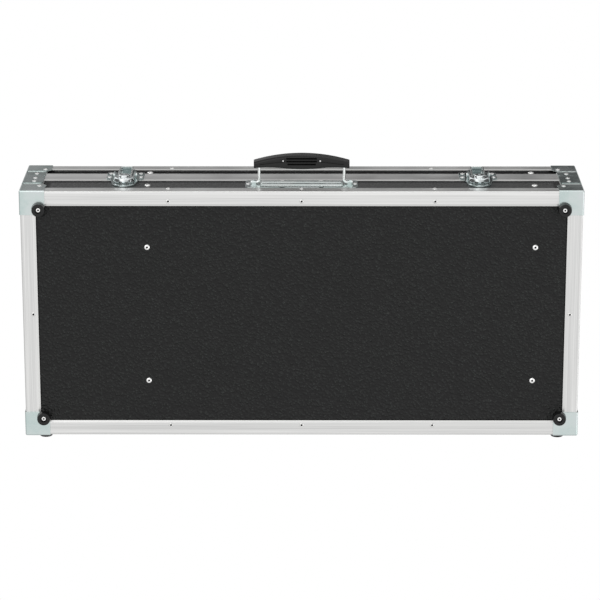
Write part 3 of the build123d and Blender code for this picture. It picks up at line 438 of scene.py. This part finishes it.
dress(ribHighlightZinc, "handle_plate")
dress(wire, "handle_arms")
dress(steel, "handle_pins", "hinge_pins")
dress(gripPlastic, "handle_grip")
print("materials dressed")


# Camera, lamps, world and floor

cameraSetup = {
    "offset": (0.007, -1.1667, -3.856),  # from the middle of the near face, in metres
    "pitch": 0.2886,
    "yaw": -0.0024,
    "focalPixels": 2800,
    "imagePixels": 600,
    "sensorWidth": 36,
}
bottomLow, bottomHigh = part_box("base_bottom_panel")
nearCentre = (bottomLow + bottomHigh) / 2
nearCentre.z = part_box("base_edge_front")[0].z


def makeCamera():
    setup = cameraSetup
    yaw, pitch = setup["yaw"], setup["pitch"]
    forward = Vector((math.sin(yaw) * math.cos(pitch), math.sin(pitch), math.cos(yaw) * math.cos(pitch)))
    right = forward.cross(Vector((0, -1, 0))).normalized()
    up = right.cross(forward)
    data = bpy.data.cameras.new("photoCamera")
    data.sensor_width = setup["sensorWidth"]
    data.lens = setup["focalPixels"] / setup["imagePixels"] * setup["sensorWidth"]
    camera = bpy.data.objects.new("photoCamera", data)
    scene.collection.objects.link(camera)
    turn = Matrix((right, up, -forward)).transposed().to_4x4()
    camera.matrix_world = Matrix.Translation(nearCentre + Vector(setup["offset"])) @ turn
    scene.camera = camera


lampSetup = {
    "keyBelow": {"place": (-1.7, -2.0, -3.0), "size": 3.6, "power": 34},
    "fillBelow": {"place": (3.2, 0.6, -1.9), "size": 3.0, "power": 24},
    "keyAbove": {"place": (-2.9, -2.0, 2.3), "size": 3.0, "power": 28},
    "fillAbove": {"place": (2.6, 1.8, 2.6), "size": 3.4, "power": 26},
}


def makeLamps():
    for name, setup in lampSetup.items():
        data = bpy.data.lights.new(name, "AREA")
        data.shape = "SQUARE"
        data.size = setup["size"]
        data.energy = setup["power"]
        lamp = bpy.data.objects.new(name, data)
        scene.collection.objects.link(lamp)
        lamp.location = setup["place"]
        lamp.rotation_euler = (nearCentre - lamp.location).to_track_quat("-Z", "Y").to_euler()
        lamp.visible_camera = False


# how bright the room looks in reflections, from straight down (0) to straight up (1)
worldSetup = {
    "lightLevel": 0.55,
    "mirrorLevels": [(0.0, 1.0), (0.12, 0.96), (0.30, 0.70), (0.50, 0.62), (0.72, 0.66), (0.88, 0.66),
                     (0.985, 0.65)],
    "stripAcross": (0.0, 0.970, 0.2425),  # a narrow black strip overhead gives bright metal its dark side
    "stripEdge": (0.20, 0.11),
    "stripFrom": (-0.16, 0.56),  # place along the strip and how bright it is there
    "stripTo": (0.07, 0.12),
    "bankEdge": (0.88, 0.95),  # a bright bank before the handle wall draws the folds and round edges
    "bankAcross": (-0.12, 0.05),  # it brightens from left to right
    "bankLevels": (0.45, 1.7),
    "sideAim": (0.96, 0.24, 0.10),  # a dark board at the right draws the right-hand folds
    "sideEdge": (0.93, 0.985),
    "sideLevel": 0.35,
}


def makeWorld():
    # white to the camera, dimmer as a light, and graded in reflections so that plain metal keeps its shape
    setup = worldSetup
    world = bpy.data.worlds.new("studio")
    world.use_nodes = True
    tree = world.node_tree
    tree.nodes.clear()
    path = addNode(tree, "ShaderNodeLightPath")
    clear = addNode(tree, "ShaderNodeMath", {
        0: path.outputs["Is Camera Ray"], 1: path.outputs["Is Transmission Ray"]}, operation="MAXIMUM")
    direction = addNode(tree, "ShaderNodeTexCoord")
    split = addNode(tree, "ShaderNodeSeparateXYZ", {"Vector": direction.outputs["Generated"]})
    height = spread(tree, split.outputs["Z"], 0.0, 1.0, -1.0, 1.0)
    mirrored = ramp(tree, height, [(place, (level, level, level)) for place, level in setup["mirrorLevels"]])

    def towards(aim):
        return addNode(tree, "ShaderNodeVectorMath", {
            0: direction.outputs["Generated"], 1: aim}, operation="DOT_PRODUCT").outputs["Value"]

    across = addNode(tree, "ShaderNodeMath", {0: towards(setup["stripAcross"])}, operation="ABSOLUTE").outputs[0]
    inStrip = spread(tree, across, 0.0, 1.0, *setup["stripEdge"])
    overhead = spread(tree, split.outputs["Z"], 0.0, 1.0, 0.4, 0.7)
    inStrip = addNode(tree, "ShaderNodeMath", {0: inStrip, 1: overhead}, operation="MULTIPLY").outputs[0]
    (fromPlace, fromLevel), (toPlace, toLevel) = setup["stripFrom"], setup["stripTo"]
    stripLevel = spread(tree, split.outputs["X"], fromLevel, toLevel, fromPlace, toPlace)
    dimming = addNode(tree, "ShaderNodeMix", {"Factor": inStrip, "A": 1.0, "B": stripLevel}).outputs["Result"]
    boarded = spread(tree, towards(setup["sideAim"]), 1.0, setup["sideLevel"], *setup["sideEdge"])
    dimming = addNode(tree, "ShaderNodeMath", {0: dimming, 1: boarded}, operation="MULTIPLY").outputs[0]
    mirrored = addNode(tree, "ShaderNodeVectorMath", {0: mirrored, "Scale": dimming}, operation="SCALE").outputs[0]
    bank = spread(tree, towards((0.0, -1.0, 0.0)), 0.0, 1.0, *setup["bankEdge"])
    bankTone = ramp(tree, spread(tree, split.outputs["X"], 0.0, 1.0, *setup["bankAcross"]), [
        (place, (level, level, level)) for place, level in enumerate(setup["bankLevels"])])
    mirrored = addNode(tree, "ShaderNodeMix", {
        "Factor": bank, "A": mirrored, "B": bankTone}, data_type="RGBA").outputs["Result"]
    level = setup["lightLevel"]
    lit = addNode(tree, "ShaderNodeMix", {
        "Factor": path.outputs["Is Glossy Ray"], "A": (level, level, level, 1), "B": mirrored}, data_type="RGBA")
    seen = addNode(tree, "ShaderNodeMix", {
        "Factor": clear.outputs[0], "A": lit.outputs["Result"], "B": (1, 1, 1, 1)}, data_type="RGBA")
    background = addNode(tree, "ShaderNodeBackground", {"Color": seen.outputs["Result"], "Strength": 1.0})
    addNode(tree, "ShaderNodeOutputWorld", {"Surface": background.outputs[0]})
    scene.world = world


floorSetup = {"reach": 9.0, "tone": (0.80, 0.80, 0.80), "drop": 0.0004}


def makeFloor():
    # seen from above only, because the photograph looks at the case from below
    bm = bmesh.new()
    bmesh.ops.create_grid(bm, x_segments=1, y_segments=1, size=floorSetup["reach"])
    bmesh.ops.translate(bm, verts=bm.verts, vec=(0, 0, -floorSetup["drop"]))
    mesh = bpy.data.meshes.new("floor")
    bm.to_mesh(mesh)
    bm.free()
    floor = bpy.data.objects.new("floor", mesh)
    scene.collection.objects.link(floor)
    material, tree, shader = startMaterial("paleFloor")
    shader.inputs["Base Color"].default_value = (*floorSetup["tone"], 1)
    shader.inputs["Roughness"].default_value = 0.9
    side = addNode(tree, "ShaderNodeNewGeometry")
    clear = addNode(tree, "ShaderNodeBsdfTransparent")
    mixed = addNode(tree, "ShaderNodeMixShader", {0: side.outputs["Backfacing"]})
    tree.links.new(shader.outputs["BSDF"], mixed.inputs[1])
    tree.links.new(clear.outputs[0], mixed.inputs[2])
    tree.links.new(mixed.outputs[0], tree.nodes["Material Output"].inputs["Surface"])
    mesh.materials.append(material)
    floor.visible_diffuse = False
    floor.visible_glossy = False
    floor.visible_transmission = False
    floor.visible_shadow = False


makeCamera()
makeLamps()
makeWorld()
makeFloor()
print("studio made")


# Helpers for new pieces

mergeDistance = 1e-6
sharpAngle = math.radians(35)
flatFacing = 0.9995  # a normal this close to an axis is square to it


def finishPiece(bm, name, materials, body, replaced, flatAxis=None):
    for face in bm.faces:
        face.smooth = True
    mesh = bpy.data.meshes.new(name)
    bm.to_mesh(mesh)
    bm.free()
    mesh.set_sharp_from_angle(angle=sharpAngle)
    if flatAxis is not None:  # faces square to this axis are flat sheet and keep their own normal
        for polygon in mesh.polygons:
            polygon.use_smooth = abs(polygon.normal[flatAxis]) < flatFacing
    for material in materials:
        mesh.materials.append(material)
    piece = bpy.data.objects.new(name, mesh)
    scene.collection.objects.link(piece)
    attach(piece, body)
    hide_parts(*replaced)


def turned(outline, steps):
    # a closed turning about Z from its outline's radii and heights, in millimetres
    bm = bmesh.new()
    verts = [bm.verts.new((radius / 1000, 0, height / 1000)) for radius, height in outline]
    for first, second in zip(verts, verts[1:]):
        bm.edges.new((first, second))
    bmesh.ops.spin(bm, geom=bm.verts[:] + bm.edges[:], cent=(0, 0, 0), axis=(0, 0, 1), angle=2 * math.pi,
                   steps=steps, use_merge=True)
    bmesh.ops.remove_doubles(bm, verts=bm.verts, dist=mergeDistance)
    bmesh.ops.recalc_face_normals(bm, faces=bm.faces)
    return bm


def solidBoxes(name):
    # the lowest and highest corners of each separate solid of a node
    bm = bmesh.new()
    bm.from_mesh(nodes[name].data)
    bmesh.ops.remove_doubles(bm, verts=bm.verts, dist=mergeDistance)
    boxes, seen = [], set()
    for start in bm.verts:
        if start in seen:
            continue
        seen.add(start)
        group, waiting = [], [start]
        while waiting:
            vert = waiting.pop()
            group.append(vert)
            for edge in vert.link_edges:
                other = edge.other_vert(vert)
                if other not in seen:
                    seen.add(other)
                    waiting.append(other)
        low = Vector([min(vert.co[axis] for vert in group) for axis in range(3)])
        high = Vector([max(vert.co[axis] for vert in group) for axis in range(3)])
        boxes.append((low, high))
    bm.free()
    return boxes


caseMiddle = (bottomLow + bottomHigh) / 2
caseMiddle.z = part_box("base_rim_front")[1].z


def outwardPlace(low, high, along, depth):
    # the seat of a fastener and the way that its head faces: depth is how far the head stands off its seat
    axis = along(range(3), key=lambda index: high[index] - low[index])
    seat = (low + high) / 2
    sign = 1 if seat[axis] > caseMiddle[axis] else -1
    outward = Vector([sign if index == axis else 0 for index in range(3)])
    seat[axis] = (high if sign > 0 else low)[axis] - sign * depth
    return Matrix.Translation(seat) @ outward.to_track_quat("Z", "Y").to_matrix().to_4x4()


def addCopy(bm, shape, place):
    count = len(bm.verts)
    bm.from_mesh(shape)
    bm.verts.ensure_lookup_table()
    bmesh.ops.transform(bm, matrix=place, verts=bm.verts[count:])


# Rivets and screws

rivetSetup = {
    "outline": [(0, -1.8), (1.6, -1.8), (1.6, 0), (3.2, 0), (3.2, 0.35), (2.95, 0.72), (2.35, 0.98), (1.75, 0.98),
                (1.45, 0.75), (1.35, 0.3), (1.35, -1.3), (0, -1.3)],
    "headHeight": 1.0,
    "holeRadius": 1.45,
    "steps": 18,
}
screwSetup = {
    "outline": [(0, -2), (1.7, -2), (1.7, 0), (4.4, 0), (4.38, 0.45), (4.05, 1.15), (3.4, 1.7), (2.6, 2.05),
                (2.0, 2.18), (1.75, 2.1), (1.65, 1.9), (1.65, 0.9), (0, 0.7)],
    "headHeight": 2.2,
    "holeRadius": 1.72,
    "steps": 24,
    "leastWidth": 0.0075,  # a narrower head, in metres, is a foot's screw
}
footScrewSetup = {
    "outline": [(0, -2), (1.6, -2), (1.6, 0), (3.3, 0), (3.3, 0.95), (3.1, 1.28), (2.8, 1.4), (1.55, 1.4),
                (1.36, 1.3), (1.3, 1.1), (1.3, 0.2), (0, 0.1)],
    "headHeight": 1.4,
    "holeRadius": 1.34,
    "steps": 24,
}


def fastenerShape(name, setup, hexagon=False):
    bm = turned(setup["outline"], setup["steps"])
    hole = setup["holeRadius"] / 1000
    for face in bm.faces:
        # faces inside the hole take the second material, which paints the hole's shade
        face.material_index = 1 if all(vert.co.xy.length < hole for vert in face.verts) else 0
    if hexagon:
        for vert in bm.verts:
            radius = vert.co.xy.length
            if 0 < radius < hole and vert.co.z > 0:
                turn = math.atan2(vert.co.y, vert.co.x)
                flat = math.cos(math.pi / 6) / math.cos((turn + math.pi / 6) % (math.pi / 3) - math.pi / 6)
                vert.co.xy = vert.co.xy * flat
    mesh = bpy.data.meshes.new(name)
    bm.to_mesh(mesh)
    bm.free()
    return mesh


def makeFasteners():
    rivetShape = fastenerShape("rivetShape", rivetSetup)
    screwShape = fastenerShape("screwShape", screwSetup, hexagon=True)
    footScrewShape = fastenerShape("footScrewShape", footScrewSetup, hexagon=True)
    for half in ("base", "lid"):
        bm = bmesh.new()
        for low, high in solidBoxes(f"{half}_rivets"):
            addCopy(bm, rivetShape, outwardPlace(low, high, min, rivetSetup["headHeight"] / 1000))
        finishPiece(bm, f"{half}Rivets", [rivetMetal, holeShadeMaterial], half, [f"{half}_rivets"])
        bm = bmesh.new()
        for low, high in solidBoxes(f"{half}_screws"):
            wide = sorted(high - low)[0]
            setup, shape = footScrewSetup, footScrewShape
            if wide > screwSetup["leastWidth"]:
                setup, shape = screwSetup, screwShape
            addCopy(bm, shape, outwardPlace(low, high, max, setup["headHeight"] / 1000))
        finishPiece(bm, f"{half}Screws", [steel, holeShadeMaterial], half, [f"{half}_screws"])
    for shape in (rivetShape, screwShape, footScrewShape):
        bpy.data.meshes.remove(shape)


makeFasteners()
print("fasteners made")


# Handle plate

handleRibSetup = {
    "section": [(14.6, 0.0), (13.7, 0.9), (8.4, 1.72), (6.2, 1.72), (5.5, 2.42), (1.2, 3.1)],  # half of it, in mm
    "sunk": 0.2,  # how far its foot goes into the sheet
    "halfLength": 57.0,
    "endRun": 2.2,
    "edgeRound": 0.35,
    "sheet": 1.5,
    "cadRibReach": (56.2, 17.2),
    "endRise": 0.05,  # each end runs down to this share of the rib's height
    "leastCrease": (0.05, 0.1, -0.0005),  # length, angle and rise past which an edge is rounded
    "slack": 1e-5,
}


def makeHandlePlate():
    # the CAD plate with its plain rib taken off and an arched, creased one pressed in its place
    setup = handleRibSetup
    low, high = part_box("handle_plate")
    middle = (low + high) / 2
    sheetTop = high.y - setup["sheet"] / 1000
    bm = bmesh.new()
    bm.from_mesh(nodes["handle_plate"].data)
    bmesh.ops.remove_doubles(bm, verts=bm.verts, dist=mergeDistance)
    reachX, reachZ = [reach / 1000 for reach in setup["cadRibReach"]]
    oldRib = [face for face in bm.faces if all(
        abs(vert.co.x - middle.x) < reachX and abs(vert.co.z - middle.z) < reachZ
        and vert.co.y < sheetTop + setup["slack"] for vert in face.verts)]
    bmesh.ops.delete(bm, geom=oldRib, context="FACES")
    openEdges = [edge for edge in bm.edges if edge.is_boundary]
    bmesh.ops.holes_fill(bm, edges=openEdges, sides=0)
    bmesh.ops.recalc_face_normals(bm, faces=bm.faces)
    rib = bmesh.new()
    half = setup["section"]
    foot = [(half[0][0], -setup["sunk"])]
    outline = foot + half + [(-across, rise) for across, rise in reversed(half)] + [(-foot[0][0], foot[0][1])]
    start = -setup["halfLength"] - setup["endRun"]
    verts = [rib.verts.new((start / 1000, -rise / 1000, across / 1000)) for across, rise in outline]
    rib.faces.new(verts)
    for step, rise in ((setup["endRun"], 1.0), (2 * setup["halfLength"], 1.0),
                       (setup["endRun"], setup["endRise"])):
        rib.faces.ensure_lookup_table()
        front = max(rib.faces, key=lambda face: face.calc_center_median().x)
        made = bmesh.ops.extrude_face_region(rib, geom=[front], use_keep_orig=False)
        fresh = [item for item in made["geom"] if isinstance(item, bmesh.types.BMVert)]
        bmesh.ops.translate(rib, verts=fresh, vec=(step / 1000, 0, 0))
        if rise < 1:
            bmesh.ops.scale(rib, verts=fresh, vec=(1, rise, 1))
    first = [vert for vert in rib.verts if vert.co.x < (start + 0.1) / 1000]
    bmesh.ops.scale(rib, verts=first, vec=(1, setup["endRise"], 1))
    bmesh.ops.recalc_face_normals(rib, faces=rib.faces)
    length, angle, rise = setup["leastCrease"]
    creases = [edge for edge in rib.edges if edge.calc_length() > length and edge.calc_face_angle(0) > angle
               and min(vert.co.y for vert in edge.verts) < rise]
    bmesh.ops.bevel(rib, geom=creases, offset=setup["edgeRound"] / 1000, offset_type="OFFSET", affect="EDGES",
                    segments=3, profile=0.5, material=-1)
    bmesh.ops.translate(rib, verts=rib.verts, vec=(middle.x, sheetTop, middle.z))
    # the rib takes the lighter copy of the zinc, a painted highlight
    for face in rib.faces:
        face.material_index = 1
    shape = bpy.data.meshes.new("ribShape")
    rib.to_mesh(shape)
    rib.free()
    bm.from_mesh(shape)
    bpy.data.meshes.remove(shape)
    finishPiece(bm, "handlePlate", [zinc, ribHighlightZinc], "base", ["handle_plate"], flatAxis=1)


makeHandlePlate()
print("handle plate made")


# Foam pads

foamSetup = {"edgeRound": 0.003, "wallGap": 0.0005, "fill": 0.95}


def makeFoam(half):
    low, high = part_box(f"{half}_foam")
    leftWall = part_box(f"{half}_partition_left")
    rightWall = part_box(f"{half}_partition_right")
    gap = foamSetup["wallGap"]
    spans = {
        "left": (low.x, leftWall[0].x - gap),
        "middle": (leftWall[1].x + gap, rightWall[0].x - gap),
        "right": (rightWall[1].x + gap, high.x),
    }
    for name, (x0, x1) in spans.items():
        bm = bmesh.new()
        bmesh.ops.create_cube(bm, size=1.0)
        bmesh.ops.scale(bm, vec=(x1 - x0, high.y - low.y, high.z - low.z), verts=bm.verts)
        bmesh.ops.translate(bm, vec=((x0 + x1) / 2, (low.y + high.y) / 2, (low.z + high.z) / 2), verts=bm.verts)
        bmesh.ops.bevel(bm, geom=bm.edges[:], offset=foamSetup["edgeRound"], offset_type="OFFSET",
                        affect="EDGES", segments=4, profile=0.5, material=-1)
        mesh = bpy.data.meshes.new(f"{half}Foam{name.title()}")
        bm.to_mesh(mesh)
        bm.free()
        mesh.materials.append(foam)
        pad = bpy.data.objects.new(mesh.name, mesh)
        scene.collection.objects.link(pad)
        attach(pad, half)
        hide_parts(f"{half}_foam")


makeFoam("base")
makeFoam("lid")
print("foam made")
